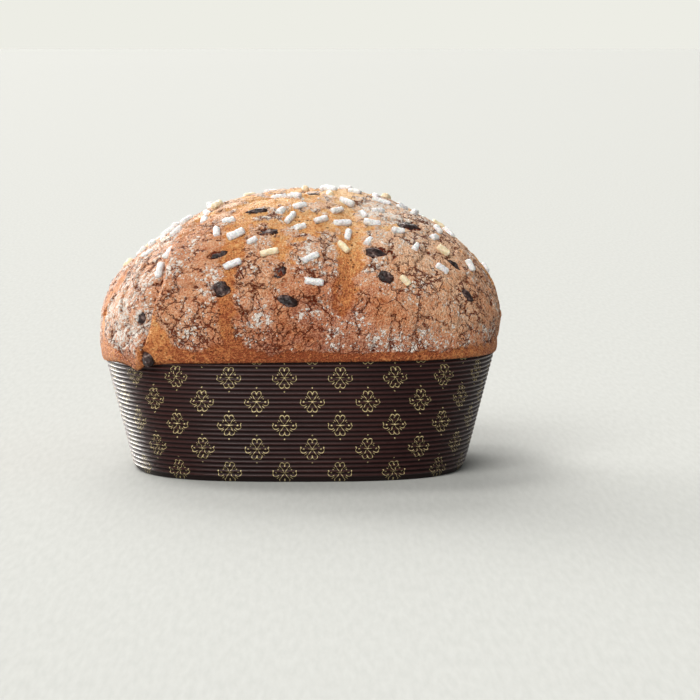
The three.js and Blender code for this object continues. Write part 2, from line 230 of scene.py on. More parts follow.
# Name, direction that the light comes from, strength, angle in degrees
SUNS = [
    ("top_softbox", (-0.4, 0.25, 1.0), 0.9, 22.0),
    ("back_softbox", (-0.2, 1.0, 0.6), 2.5, 36.0),
    ("left_softbox", (-0.67, 0.74, 0.045), 5.2, 30.0),
    ("front_softbox", (-0.38, -0.95, 0.8), 2.6, 36.0),
]
for name, source, strength, angle in SUNS:
    sun = place_object(name, bpy.data.lights.new(name, "SUN"))
    sun.data.energy = strength
    sun.data.angle = math.radians(angle)
    sun.data.color = tint("#fffcf7")[:3]
    sun.rotation_euler = Vector(source).to_track_quat("Z", "Y").to_euler()

bpy.context.scene.view_settings.view_transform = "Standard"
bpy.context.scene.view_settings.look = "None"
print("suns:", len(SUNS))

# %% [markdown]
# ## Formulas of the crust
#
# The dome is an ellipsoid whose plan is a rounded square at the rim, like the case, and a circle
# at the top. Slow waves, swells, one fold and one valley make it uneven, and a pattern of cells
# breaks it into low crags. All of these work on whole arrays of points at once.


# %% Number helpers
def smoothstep(low, high, value):
    t = np.clip((value - low) / (high - low), 0.0, 1.0)
    return t * t * (3 - 2 * t)


def fall(low, high, value):
    """1 up to low, then falling smoothly to 0 at high."""
    return 1 - smoothstep(low, high, value)


def bell(distance, width):
    return np.exp(-(distance / width) ** 2)


def turn_between(a, b):
    return (a - b + 180.0) % 360.0 - 180.0


def squareness(azimuth, exponent):
    """The rounded square in plan, as a factor on its half width."""
    a = np.radians(azimuth)
    total = np.abs(np.sin(a)) ** exponent + np.abs(np.cos(a)) ** exponent
    return total ** (-1.0 / exponent)


def polar(azimuth, radius, z):
    a = np.radians(azimuth)
    return np.stack(np.broadcast_arrays(radius * np.sin(a), -radius * np.cos(a), z), -1)


def wall_point(azimuth, z, offset):
    """A point on the case's wall, moved out by offset."""
    radius = CASE_BASE_RADIUS + CASE_FLARE * z + offset
    return polar(azimuth, radius * squareness(azimuth, CASE_SQUARENESS), z)


def lip_level(azimuth):
    level = LIP_LEVEL + LIP_SWAY * np.cos(np.radians(azimuth - LIP_SWAY_AZIMUTH))
    for centre, width, drop in DROOPS:
        level = level - drop * bell(turn_between(azimuth, centre), width)
    return level


# %% Scattered cells and smooth noise
def cell_number(i, j, k, salt):
    """A repeatable number from 0 to 1 for a cell of a 3-D grid."""
    s = np.sin(i * 127.1 + j * 311.7 + k * 74.7 + salt * 53.3) * 43758.5453
    return s - np.floor(s)


def nearest_seeds(points, size, salt=0):
    """How far the border to the next cell is, and the nearest cell's own number."""
    p = points / size
    cell = np.floor(p)
    first, second = np.full((2, len(points)), 9.0)
    number = np.zeros(len(points))
    for neighbour in np.ndindex(3, 3, 3):
        c = (cell + neighbour - 1).T
        seed = np.stack([c[n] + cell_number(*c, salt + n + 1) for n in range(3)], -1)
        d = np.sqrt(((seed - p) ** 2).sum(-1))
        nearer = d < first
        second = np.where(nearer, first, np.minimum(second, d))
        number = np.where(nearer, cell_number(*c, salt + 4), number)
        first = np.minimum(first, d)
    return (second - first) * size, number


def soft_noise(points, size, salt=0):
    """Smooth noise from -1 to 1 whose lumps are about size across."""
    p = points / size + 0.37 * salt
    cell = np.floor(p)
    f = p - cell
    f = f * f * (3 - 2 * f)
    total = np.zeros(len(points))
    for corner in np.ndindex(2, 2, 2):
        share = np.prod(np.where(corner, f, 1 - f), axis=-1)
        total += share * cell_number(*(cell + corner).T, salt)
    return 2 * total - 1


# %% The crust's surface
FOLD_AZIMUTH, FOLD_LEAN, FOLD_RISES, FOLD_FADE = -41.0, -17.0, (20.0, 55.0), (52.0, 66.0)
FOLD_STEP, FOLD_GROOVE, FOLD_WIDTH, FOLD_REACH = 3.0, 1.8, 2.4, (20.0, 12.0)
VALLEY_AZIMUTH, VALLEY_TURN, VALLEY_DEPTH, VALLEY_WIDTH = 9.0, 0.25, 2.8, 9.0
VALLEY_RISES, VALLEY_FADE = (4.0, 74.0), 14.0
PLATE_SIZE, PLATE_DEPTH, PLATE_GROOVE, PLATE_LIFT, PLATE_RISES = 13.0, 1.0, 2.1, 0.8, (1.0, 9.0)
RELIEF_FADE = (-2.0, 9.0)


def fold_distance(azimuth, rise):
    """Millimetres from the fold on the left, negative behind it."""
    along = FOLD_LEAN * smoothstep(*FOLD_RISES, rise)
    arc = np.radians(DOME_RADIUS) * np.cos(np.radians(rise))
    return turn_between(azimuth, FOLD_AZIMUTH + along) * arc


def relief(azimuth, rise, points, plates=True):
    """Height of the crust over the plain dome."""
    x, y, z = points.T
    height = 1.1 * np.sin(x / 21 + 0.6) * np.cos(y / 18 - 0.4)
    height += 0.8 * np.sin(y / 13 + z / 15 + 1.3) * np.cos(x / 14)
    for centre, level, width, lift in SWELLS:
        across = turn_between(azimuth, centre) * np.cos(np.radians(rise))
        height += lift * bell(np.hypot(across, rise - level), width)

    from_fold = fold_distance(azimuth, rise)
    behind, before = FOLD_REACH
    step = np.where(from_fold < 0, -np.exp(np.minimum(from_fold, 0) / behind),
                    0.5 * np.exp(-np.maximum(from_fold, 0) / before))
    fade = fall(*FOLD_FADE, rise)
    height += fade * (FOLD_STEP * step - FOLD_GROOVE * bell(from_fold + 1, FOLD_WIDTH))

    arc = np.radians(DOME_RADIUS) * np.cos(np.radians(rise))
    from_valley = turn_between(azimuth, VALLEY_AZIMUTH + VALLEY_TURN * rise) * arc
    low, high = VALLEY_RISES
    fade = smoothstep(low, low + VALLEY_FADE, rise) * fall(high - VALLEY_FADE, high, rise)
    height -= fade * VALLEY_DEPTH * bell(from_valley, VALLEY_WIDTH)

    if plates:
        edge, number = nearest_seeds(points, PLATE_SIZE)
        fade = smoothstep(*PLATE_RISES, rise)
        height += fade * (PLATE_LIFT * (2 * number - 1) - PLATE_DEPTH * bell(edge, PLATE_GROOVE))
    return height * smoothstep(*RELIEF_FADE, rise)


def dome_normal(azimuth, rise):
    up = np.sin(np.radians(rise)) / DOME_RISE
    out = polar(azimuth, np.cos(np.radians(rise)) / DOME_RADIUS, up)
    return out / np.linalg.norm(out, axis=-1, keepdims=True)


def crust_points(azimuth, rise, plates=True):
    """Points on the crust, from the edge of the lip to the top, and the plain dome under them."""
    azimuth, rise = np.broadcast_arrays(np.atleast_1d(azimuth).astype(float), rise)
    down = np.clip(-rise / LIP_RISES, 0.0, 1.0)
    z = WIDEST_LEVEL + (lip_level(azimuth) - WIDEST_LEVEL) * down
    inner = CASE_BASE_RADIUS + CASE_FLARE * z + LIP_CLEARANCE
    flap = FLAP_BULGE * bell(turn_between(azimuth, FLAP_AZIMUTH), FLAP_WIDTH)
    thick = (DOME_RADIUS + flap - inner) * np.sqrt(1 - down ** 2)
    lip = polar(azimuth, (inner + thick) * squareness(azimuth, CASE_SQUARENESS), z)

    c, s = np.cos(np.radians(rise)), np.sin(np.radians(rise))
    radius = DOME_RADIUS * c * squareness(azimuth, 2 + (CASE_SQUARENESS - 2) * c)
    plain = polar(azimuth, radius, WIDEST_LEVEL + DOME_RISE * s)
    plain[..., 0] += DOME_LEAN * s * s
    height = relief(azimuth, rise, plain, plates) + flap * fall(0, FLAP_FADE, rise)
    dome = plain + dome_normal(azimuth, rise) * height[:, None]
    low = (rise < 0)[:, None]
    return np.where(low, lip, dome), np.where(low, lip, plain)


print("apex of the crust:", crust_points(0.0, 90.0)[0].round(2).tolist())

# %% [markdown]
# ## Where the chips and the sugar rods lie
#
# The baker scatters pearl sugar over the glaze by hand, thickest near the top. A seeded generator
# draws a place, a turn and a length for each rod, and a draw too near to a chip or to another
# rod is thrown away. The first rods are the ones that the solid of the loaf carries too.

# %% Scatter the rods
ROD_SEED, ROD_COUNT, ROD_RADIUS, ROD_LENGTHS, ROD_LENGTH_RUN = 7, 110, 1.9, (10.5, 6.5), 110
ROD_LIFT, ROD_SPACING, ROD_RISES, ROD_TOP = 0.75, 11.5, (12.0, 58.0), 86.0
ROD_DRAWS, ROD_TO_CHIP = 6000, 1.2


def seeded_random(seed):
    """A small 32-bit generator that any language can repeat exactly."""
    state = seed
    mask = 0xFFFFFFFF
    while True:
        state = (state + 0x6D2B79F5) & mask
        t = ((state ^ (state >> 15)) * (state | 1)) & mask
        t ^= (t + (((t ^ (t >> 7)) * (t | 61)) & mask)) & mask
        yield (t ^ (t >> 14)) / 4294967296


def scatter_rods(count):
    random = seeded_random(ROD_SEED)
    taken = [(crust_points(chip[0], chip[1])[0][0], chip[2] / 2 + ROD_TO_CHIP) for chip in CHIPS]
    rods = []
    for _ in range(ROD_DRAWS):
        if len(rods) == count:
            break
        azimuth = 360 * next(random) - 180
        rise = math.degrees(math.asin(next(random)))
        turn = 180 * next(random)
        stretch, chance = next(random), next(random)
        run = min(1.0, len(rods) / ROD_LENGTH_RUN)
        length = ROD_LENGTHS[0] + (ROD_LENGTHS[1] - ROD_LENGTHS[0]) * run + 2 * stretch - 1
        if chance >= smoothstep(*ROD_RISES, rise) or rise >= ROD_TOP:
            continue
        point = crust_points(azimuth, rise)[0][0]
        if all(np.linalg.norm(point - other) > reach + length / 2 for other, reach in taken):
            rods.append((azimuth, rise, turn, length))
            taken.append((point, ROD_SPACING - length / 2))
    return rods


rods = scatter_rods(ROD_COUNT)
print("rods placed:", len(rods))


def stand_on_crust(azimuth, rise, turn, lift):
    """Matrix that lays a piece made along X onto the crust, in metres."""
    out = Vector(polar(azimuth, 1.0, 0.0) if rise < 0 else dome_normal(azimuth, rise))
    east = Vector((0, 0, 1)).cross(out).normalized()
    north = out.cross(east)
    place = Vector(crust_points(azimuth, rise)[0][0]) + out * lift
    basis = Matrix((east, north, out)).transposed().to_4x4()
    return Matrix.Translation(place * MM) @ basis @ Matrix.Rotation(math.radians(turn), 4, "Z")


# %% [markdown]
# ## The loaf's fine surface
#
# The loaf could be sculpted by hand or displaced by a texture at render time. A mesh worked out
# from formulas is chosen here, because the same places then carry both the relief and the
# colours: a crack is low and dark, a plate of glaze is high and pale. Rings of points run from
# under the loaf, up inside the case, over its rim and on to the top, and a stitch joins rings
# that hold different numbers of points.

# %% Glaze: where it lies and how it cracks
SKIN_SPACING, ROW_SPACING, SQUARE_GROWTH = 0.91, 0.9, 1.06
CASE_SEGMENTS, CORNER_CROWDING = 36, 0.3
NO_CRACK = 6.0
# Streaks of bare crust between the lobes, as azimuth and rise along each, and half a width
STREAKS = [
    ([(-46, 72), (-37, 63.5), (-27, 47), (-24, 36)], 6.8),
    ([(-24, 36), (-21.5, 25), (-20.5, 12), (-19, 0)], 2.4), ([(-14, 52), (-9, 42), (-7, 34)], 4.5),
    ([(60, 82), (31.5, 71), (21, 54.5), (17.5, 40), (15, 28.5), (13.5, 18.5)], 6.5),
    ([(-60, 74), (0, 84), (60, 76)], 7.0),
    ([(150, 70), (141, 48), (139, 30), (132, 12)], 6.5),
    ([(-150, 74), (-134, 52), (-128, 30), (-130, 8)], 6.0),
    ([(92, 60), (84, 40), (80, 20)], 4.0),
    ([(-72, 26), (-75, 15), (-73, 7), (-66, 0), (-58, -6)], 5.0),
]
# The crease where the glaze of the left lobe meets the smooth ledge beside it
LEDGE_CREASE = [(-64, 30), (-69.5, 23), (-69, 15), (-65.5, 9.5), (-58, 2.5), (-54, -3.5), (-47, -8)]
# How high the glaze's lower border lies round the loaf, in degrees of rise
BORDER_AZIMUTHS = [-180, -120, -60, -48, -35, -28, -17, -8, 5.5, 30, 60, 120, 180]
BORDER_RISES = [1.5, -2.0, -4.0, -6.0, 1.0, -3.0, 4.0, -4.0, -3.5, -3.0, -2.0, 2.0, 1.5]


def path_distance(points, path):
    """Millimetres from each point to a path over the crust."""
    stops = np.array([crust_points(a, r, plates=False)[0][0] for a, r in path])
    nearest = np.full(len(points), 1e9)
    for start, end in zip(stops[:-1], stops[1:]):
        run = end - start
        t = np.clip((points - start) @ run / (run @ run), 0, 1)
        nearest = np.minimum(nearest, np.linalg.norm(points - start - t[:, None] * run, axis=1))
    return nearest


def glaze_cover(azimuth, rise, points, broad, fine):
    """1 where glaze covers the crust, and 0 on bare crust."""
    border = np.interp(azimuth, BORDER_AZIMUTHS, BORDER_RISES)
    cover = smoothstep(-0.5, 0.7, rise - border - 2.0 * broad - 1.8 * fine)
    for path, width in STREAKS:
        away = path_distance(points, path) + 3.4 * fine + 2.8 * broad
        cover = cover * smoothstep(width - 2.2, width + 1.2, away)
    # Beside the fold the crust is smooth, more so near the rim
    from_fold = fold_distance(azimuth, rise)
    band = 1.8 + 13 * fall(-2, 15, rise) + 1.2 * fine
    beside = smoothstep(-0.4, 0.4, from_fold + 1)
    beside = beside * fall(band - 0.8, band + 0.8, from_fold)
    cover = cover * (1 - beside * fall(*FOLD_FADE, rise))
    # Towards the top the glaze broke up into patches
    patchy = smoothstep(38, 66, rise) * (1 - bell(turn_between(azimuth, 55), 28))
    return cover * smoothstep(-0.14, 0.04, broad + 0.5 * fine + 0.9 - 0.85 * patchy)


def glaze_layers(azimuth, rise, points):
    """Cover, way to a crack or to a crease or chip rim painted dark as shade, fine cracks, icing
    sugar, tone with some painted light and shade, and height over the dome.
    """
    wobble = np.stack([soft_noise(points, 7.0, 20 + n) for n in range(3)], -1)
    wobble += 0.5 * np.stack([soft_noise(points, 3.0, 30 + n) for n in range(3)], -1)
    broad = soft_noise(points, 21.0, 40) + 0.5 * soft_noise(points, 9.0, 41)
    fine = soft_noise(points, 4.0, 42) + 0.5 * soft_noise(points, 1.9, 47)
    cover = glaze_cover(azimuth, rise, points, broad, fine)

    edge_big, number = nearest_seeds(points + 1.7 * wobble, PLATE_SIZE)
    number_small = nearest_seeds(points + 1.3 * wobble, 7.0, 50)[1]
    vary = soft_noise(points, 8.0, 43) + 0.5 * soft_noise(points, 3.0, 48)
    right = smoothstep(18, 40, azimuth) * fall(100, 130, azimuth)
    edge = edge_big + 1.2 * smoothstep(-0.1, 0.6, -vary) + NO_CRACK * (1 - cover)
    front_left = smoothstep(-130, -100, azimuth) * fall(-22, -10, azimuth)
    craze = 0.35 + 0.35 * right + 0.15 * front_left + 0.5 * soft_noise(points, 15.0, 43)

    # Creases of the dough itself: grooves in the height, and a dark line in the colour that is
    # painted shade in the creases
    from_fold = fold_distance(azimuth, rise)
    fold = np.abs(from_fold + 1.0) * 0.75 + 8 * smoothstep(*FOLD_FADE, rise)
    ledge = path_distance(points, LEDGE_CREASE) * 0.9
    edge = np.minimum(edge, np.minimum(fold, ledge) + 0.25 * fine)

    fade = smoothstep(*RELIEF_FADE, rise) * smoothstep(*PLATE_RISES, rise)
    height = fade * PLATE_LIFT * (2 * number - 1) + 0.3 * (number_small - 0.5) * cover
    height += 0.5 * cover - 0.35
    height -= (0.75 + 0.25 * vary) * bell(edge, 0.75) + 0.2 * bell(edge, 1.8)
    height -= 0.9 * bell(ledge, 1.3)
    height += 0.2 * fine * (0.6 + 0.6 * cover) + 0.2 * soft_noise(points, 1.7, 44) * cover
    height *= smoothstep(-10, -3, rise)

    behind = fall(-3, 1, from_fold) * fall(45, 60, rise)
    behind = behind * fall(30, 45, np.abs(turn_between(azimuth, -58)))
    upper_right = smoothstep(40, 62, rise) * bell(turn_between(azimuth, 55), 40)
    dust = 0.45 + 0.42 * soft_noise(points, 12.0, 45) + 0.26 * soft_noise(points, 4.0, 46)
    dust = dust + 0.3 * behind + 0.4 * upper_right + 0.1 * smoothstep(15, 40, rise)
    # Painted shade: the upper left is darker and shows less icing sugar
    painted_shade_upper_left = bell(turn_between(azimuth, -75), 40) * bell(rise - 38, 18)
    dust = dust - 0.06 * right * (1 - upper_right) - 0.15 * painted_shade_upper_left
    tone = 0.06 + 0.3 * smoothstep(-2, 9, rise) + 0.5 * smoothstep(8, 62, rise)
    # Paler low on the left: partly the smooth ledge's own tan, partly painted light that lifts the
    # lip's shaded underside
    left = fall(-62, -44, azimuth) * smoothstep(-110, -80, azimuth)
    left = left * (1 - 0.5 * smoothstep(0, 10, rise)) * fall(10, 40, rise)
    centre = bell(turn_between(azimuth, 4), 14) * fall(25, 40, rise)
    shoulder = bell(turn_between(azimuth, -38), 24) * bell(rise - 46, 16)
    by_fold = bell(from_fold, 24) * fall(0, 14, rise)
    tone = tone + 0.1 * broad + 0.25 * left - 0.24 * centre + 0.2 * right
    tone = tone - 0.22 * shoulder - 0.12 * painted_shade_upper_left + 0.22 * by_fold
    return (cover, edge, np.clip(craze, 0, 1), np.clip(dust * cover, 0, 1), np.clip(tone, 0, 1),
            height)


# %% Rings of the loaf
FIRST_RING, LAST_RING = -LIP_RISES + 0.4, 89.2
# The pocket's outline as a share of the chip's, as a chip narrows towards the crust
CHIP_SHOWN = 0.9
# Millimetres to a degree, on the map of the skin laid flat that the cracks are drawn on
SKIN_MAP = 1.45


def shared_azimuths():
    u = np.arange(CASE_SEGMENTS) * 360 / CASE_SEGMENTS
    return u + np.degrees(CORNER_CROWDING / 4) * np.sin(np.radians(4 * u))


def stitch(lower, upper, lower_start, upper_start):
    """Triangles between two closed rings, each a list of azimuths."""
    triangles = []
    n, m, i, j = len(lower), len(upper), 0, 0
    while i < n or j < m:
        a, b = lower_start + i % n, upper_start + j % m
        next_lower = (lower[i + 1] if i + 1 < n else lower[0] + 360) if i < n else math.inf
        next_upper = (upper[j + 1] if j + 1 < m else upper[0] + 360) if j < m else math.inf
        if next_lower <= next_upper:
            i += 1
            triangles.append((a, lower_start + i % n, b))
        else:
            j += 1
            triangles.append((a, upper_start + j % m, b))
    return triangles


def loaf_rings():
    """Azimuths and rises of the rings over the lip and the dome."""
    rings = []
    rise, odd = FIRST_RING, False
    while rise < LAST_RING:
        s, c = math.sin(math.radians(max(rise, 0))), math.cos(math.radians(max(rise, 0)))
        count = max(6, round(2 * math.pi * DOME_RADIUS * c * SQUARE_GROWTH / SKIN_SPACING))
        rings.append(((np.arange(count) + 0.5 * odd) * 360 / count, rise))
        along = math.hypot(DOME_RADIUS * s, DOME_RISE * c) * math.radians(1)
        rise += SKIN_SPACING * ROW_SPACING / along
        odd = not odd
    return rings


def store(mesh, **layers):
    """Writes named attributes onto a mesh: a number or a vector for each point."""
    for name, values in layers.items():
        values = np.asarray(values, dtype=float)
        kind, field = ("FLOAT", "value") if values.ndim == 1 else ("FLOAT_VECTOR", "vector")
        mesh.attributes.new(name, kind, "POINT").data.foreach_set(field, values.ravel())


def build_loaf():
    around = shared_azimuths()
    inside = -CASE_WALL - GAP
    floor_z = CASE_FLOOR + GAP
    hidden = [wall_point(around, z, offset) for z, offset in (
        (floor_z, inside - CASE_FOOT), (floor_z + CASE_FOOT, inside), (CASE_HEIGHT + GAP, inside),
        (CASE_HEIGHT + GAP, LIP_CLEARANCE), (lip_level(around), LIP_CLEARANCE))]
    shown = loaf_rings()
    azimuth = turn_between(np.concatenate([a for a, _ in shown] + [[0.0]]), 0.0)
    rise = np.concatenate([np.full(len(a), r) for a, r in shown] + [[90.0]])
    points, plain = crust_points(azimuth, rise, plates=False)
    cover, edge, craze, dust, tone, height = glaze_layers(azimuth, rise, plain)
    out = np.where((rise < 0)[:, None], polar(azimuth, 1.0, 0.0), dome_normal(azimuth, rise))
    grain = soft_noise(plain, 2.2, 49)
    for a, r, length, width, _, turn in CHIPS:
        lying = np.array(stand_on_crust(a, r, turn, 0.0).inverted())
        local = points @ lying[:3, :3].T + lying[:3, 3] / MM
        away = np.hypot(local[:, 0] * 2 / length, local[:, 1] * 2 / width) - CHIP_SHOWN
        away = np.maximum(away * (length + width) / 4, np.abs(local[:, 2]) - 6)
        height = height - 0.7 * bell(away + 0.4, 0.9) + 0.75 * bell(away - 1.6, 1.3)
        # Each chip's rim is drawn in the crack colour: partly where the crust parts round the chip,
        # partly painted shadow round it
        edge = np.minimum(edge, np.maximum(1.8 * away, 0) + 0.6 * grain + 0.25)
    for a, r, _, length in rods:
        away = np.linalg.norm(points - crust_points(a, r)[0][0], axis=1)
        smear = 0.75 * smoothstep(30, 60, r) * (cell_number(a, r, 1, 6) < 0.45)
        dust = np.maximum(dust, smear * bell(away + 1.5 * grain, 0.62 * length) * cover)
    points = points + out * height[:, None]

    vertices = np.concatenate([[[0.0, 0.0, floor_z]], *hidden, points])
    rings = [(around, 1 + n * CASE_SEGMENTS) for n in range(len(hidden))]
    start = 1 + len(hidden) * CASE_SEGMENTS
    for ring, _ in shown:
        rings.append((ring, start))
        start += len(ring)
    faces = [(0, 1 + (i + 1) % CASE_SEGMENTS, 1 + i) for i in range(CASE_SEGMENTS)]
    for (lower, low_start), (upper, up_start) in zip(rings[:-1], rings[1:]):
        faces += stitch(lower, upper, low_start, up_start)
    last, last_start = rings[-1]
    count = len(last)
    faces += [(start, last_start + i, last_start + (i + 1) % count) for i in range(count)]

    mesh = new_mesh("glazed_loaf", vertices * MM, faces)
    layers = {"spread": polar(azimuth, (90 - rise) * SKIN_MAP, 0.0), "cover": cover, "edge": edge,
              "craze": craze, "dust": dust, "tone": tone}
    # The points inside the case are the first ones, and carry 0
    first = ((len(vertices) - len(points), 0), (0, 0))
    store(mesh, **{name: np.pad(values, first[:values.ndim]) for name, values in layers.items()})
    return place_object("glazed_loaf", mesh)


loaf = build_loaf()
print("loaf triangles:", len(loaf.data.polygons))

# %% [markdown]
# ## The crust's finish
#
# Baked dough is a matt brown skin, darkest where it met the hot rim and golden where the lobes
# burst open late. The glaze of egg white, sugar and ground almonds dries into pinkish brown
# plates that crack as the loaf rises, and icing sugar leaves white specks. The mesh attributes
# say where each of these lies. Some colour is painted light and shade: dark lines in the creases
# and round the chips, darker crust beside the cracks, small white glints among the sugar, a
# darker upper left, and a lower left that is paler partly by painted light. Noise at real sizes
# breaks them up, and a bump adds grain that is finer than the mesh.


# %% Crust material
def crust_finish(node, place):
    in_mm = node(VECTOR_MATH, [place, (1000, 1000, 1000)], "MULTIPLY")
    cover, edge, craze, dust, tone = (
        node(ATTRIBUTE, settings={"attribute_name": name}).outputs["Fac"]
        for name in ("cover", "edge", "craze", "dust", "tone"))

    # Mottling about 3 mm across, grain of 1 mm, and grit of half a millimetre
    mottle = node(NOISE, {"Vector": in_mm, "Scale": 0.3, "Detail": 4.0})
    grain = node(NOISE, {"Vector": in_mm, "Scale": 1.0, "Detail": 3.0})
    grit = node(NOISE, {"Vector": in_mm, "Scale": 1.9, "Detail": 2.0})
    bake = tone
    for noise, share in ((mottle, 0.2), (grain, 0.3)):
        bake = node("ADD", [bake, node(RANGE, [noise, 0.3, 0.7, -share, share])])
    bare = node(RAMP, {"Fac": bake}, {"stops": [
        (0.0, "#964d2d"), (0.2, "#bc6f43"), (0.45, "#d98c54"), (0.7, "#edac6c"), (1.0, "#f9d09c")]})
    plate = node(RAMP, {"Fac": node("ADD", [bake, 0.12])}, {"stops": [
        (0.0, "#9a5233"), (0.3, "#cc7f55"), (0.6, "#de9d72"), (1.0, "#f4c8a4")]})
    ragged = node("ADD", [cover, node(RANGE, [grain, 0.3, 0.7, -0.45, 0.45])])
    glazed = node(RANGE, [ragged, 0.25, 0.75, 0.0, 1.0])
    skin = node(MIX, [glazed, bare, plate], COLOURS)

    # Pores, as dark round pits about 1 mm across
    bent = node(VECTOR_MATH, [grain.outputs["Color"], (1.5, 1.5, 1.5), in_mm], "MULTIPLY_ADD")
    pits = node(VORONOI, {"Vector": bent, "Scale": 0.3}).outputs["Distance"]
    pits = node(RANGE, [pits, 0.15, 0.23, 1.0, 0.0])
    pores = node("MULTIPLY", [pits, node(RANGE, [mottle, 0.4, 0.55])])
    skin = node(MIX, [node("MULTIPLY", [pores, 0.8]), skin, tint("#642c16")], COLOURS)

    # Main cracks, with ragged edges, and two nets of finer ones that the mesh doesn't carry. The
    # main ones include the creases and the chip rims, painted dark as shade
    ragged = node("ADD", [edge, node(RANGE, [grain, 0.25, 0.75, -0.4, 0.4])])
    crack = node(RANGE, [ragged, 0.1, 0.5, 1.0, 0.0])
    wavy = node(NOISE, {"Vector": in_mm, "Scale": 0.4, "Detail": 3.0}).outputs["Color"]
    flat = node(ATTRIBUTE, settings={"attribute_name": "spread"}).outputs["Vector"]
    flat = node(VECTOR_MATH, [wavy, (7.0, 7.0, 0.0), flat], "MULTIPLY_ADD")
    patch = node(NOISE, {"Vector": in_mm, "Scale": 0.11, "Detail": 1.0})
    net = 0.0
    for size, gate in ((10.5, [patch, 0.38, 0.5]), (5.6, [craze, 0.35, 0.75])):
        cells = node(VORONOI, {"Vector": flat, "Scale": 1 / size},
                     {"feature": "DISTANCE_TO_EDGE", "voronoi_dimensions": "2D"})
        hidden = node(RANGE, [*gate, 0.9, 0.0])
        gap = node("MULTIPLY_ADD", [cells, size, hidden])
        net = node("MAXIMUM", [net, node(RANGE, [gap, 0.14, 0.5, 0.95, 0.0])])
    craze = node("MULTIPLY", [net, node(RANGE, [cover, 0.0, 1.0, 0.15, 1.0])])
    cracks = node("MAXIMUM", [craze, crack])
    # Painted shade: the crust darkens towards each crack, crease and chip rim
    shade = node(RANGE, [edge, 0.4, 1.5, 0.22, 0.0])
    skin = node(MIX, [shade, skin, tint("#98502c")], COLOURS)
    skin = node(MIX, [cracks, skin, tint("#6e260a")], COLOURS)

    # Icing sugar: a thin bloom on the plates, and round flecks that meet where it is thick. Smaller
    # white specks among the sugar are partly sugar and partly painted glints
    mixed = node(VECTOR_MATH, [grain.outputs["Color"], (2.6, 2.6, 2.6), in_mm], "MULTIPLY_ADD")
    spots = node(VORONOI, {"Vector": mixed, "Scale": 0.5}).outputs["Distance"]
    radius = node("ADD", [node(RANGE, [dust, 0.1, 0.95, 0.0, 0.58]),
                          node(RANGE, [mottle, 0.35, 0.65, -0.16, 0.16])])
    fleck = node(RANGE, [node("SUBTRACT", [radius, spots]), 0.0, 0.07])
    # Smaller specks where there is sugar: partly sugar, partly painted highlight as glints
    spots = node(VORONOI, {"Vector": bent, "Scale": 0.95}).outputs["Distance"]
    radius = node(RANGE, [dust, 0.1, 0.9, 0.0, 0.38])
    sugar_and_glint_specks = node(RANGE, [node("SUBTRACT", [radius, spots]), 0.0, 0.1])
    fleck = node("MAXIMUM", [fleck, sugar_and_glint_specks])
    bloom = node("MULTIPLY", [dust, node(RANGE, [grain, 0.35, 0.68, 0.0, 0.3])])
    white = node("MAXIMUM", [node("MULTIPLY", [fleck, 0.9]), bloom])
    for share in (node("SUBTRACT", [1.0, cracks]), node(RANGE, [dust, 0.04, 0.2])):
        white = node("MULTIPLY", [white, share])
    skin = node(MIX, [white, skin, tint("#fbf4ec")], COLOURS)

    high = node(RANGE, [grain, 0.3, 0.7, 0.0, 1.5])
    for layer, lift in ((fleck, 0.5), (grit, 0.6), (cracks, -1.5), (pores, -1.0)):
        high = node("MULTIPLY_ADD", [layer, lift, high])
    bump = node(BUMP, {"Height": high, "Strength": 1.0, "Distance": 0.8 * MM})
    return node(SHADER, {
        "Base Color": skin, "Roughness": node(RANGE, [white, 0.0, 1.0, 0.6, 0.9]),
        "Specular IOR Level": 0.15, "Normal": bump})


loaf.data.materials.append(finish_material("baked crust with cracked glaze", crust_finish))
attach(loaf, "root")
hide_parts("loaf")

# %% [markdown]
# ## Pearl sugar
#
# The rods are pressed sugar: short, blunt and rough, about 4 mm thick. Geometry Nodes set one
# rounded rod on each scattered point, turn and stretch it by that point's attributes, make all
# of them real mesh, and roughen it. Most are white, and about one in seven has taken up a cream
# colour from the oven, so the two kinds are two pieces.


# %% Grow a piece by Geometry Nodes
def grow(name, mesh, values, build, material):
    """Turns a mesh into a dressed piece of plain mesh by a tree of Geometry Nodes.

    The values are the tree's named inputs. The build function is given the adder of nodes and
    the inputs, and returns the geometry.
    """
    tree = bpy.data.node_groups.new(name, "GeometryNodeTree")
    new_socket = tree.interface.new_socket
    new_socket("Geometry", in_out="INPUT", socket_type="NodeSocketGeometry")
    for label in values:
        new_socket(label, in_out="INPUT", socket_type="NodeSocketFloat")
    new_socket("Geometry", in_out="OUTPUT", socket_type="NodeSocketGeometry")
    node = partial(add, tree)
    shape = build(node, node("NodeGroupInput").outputs)
    smooth = node("GeometryNodeSetShadeSmooth", {"Geometry": shape})
    dressed = node("GeometryNodeSetMaterial", {"Geometry": smooth, "Material": material})
    node("NodeGroupOutput", {"Geometry": dressed})

    piece = place_object(name, mesh)
    modifier = piece.modifiers.new(name, "NODES")
    modifier.node_group = tree
    for socket in tree.interface.items_tree:
        if socket.name in values:
            modifier[socket.identifier] = values[socket.name]
    bpy.context.view_layer.update()
    graph = bpy.context.evaluated_depsgraph_get()
    made = bpy.data.meshes.new_from_object(piece.evaluated_get(graph))
    piece.modifiers.clear()
    piece.data = made
    made.name = name
    return piece


# %% Rods by Geometry Nodes
ROD_VALUES = {"Rod Radius": ROD_RADIUS * 1.06 * MM, "Roughening": 1.6 * MM, "Lump Size": 2.3 * MM}
# The thinnest rod's share of the radius, and how much is added for the thickest
ROD_THIN, ROD_THICKER = 0.86, 0.24


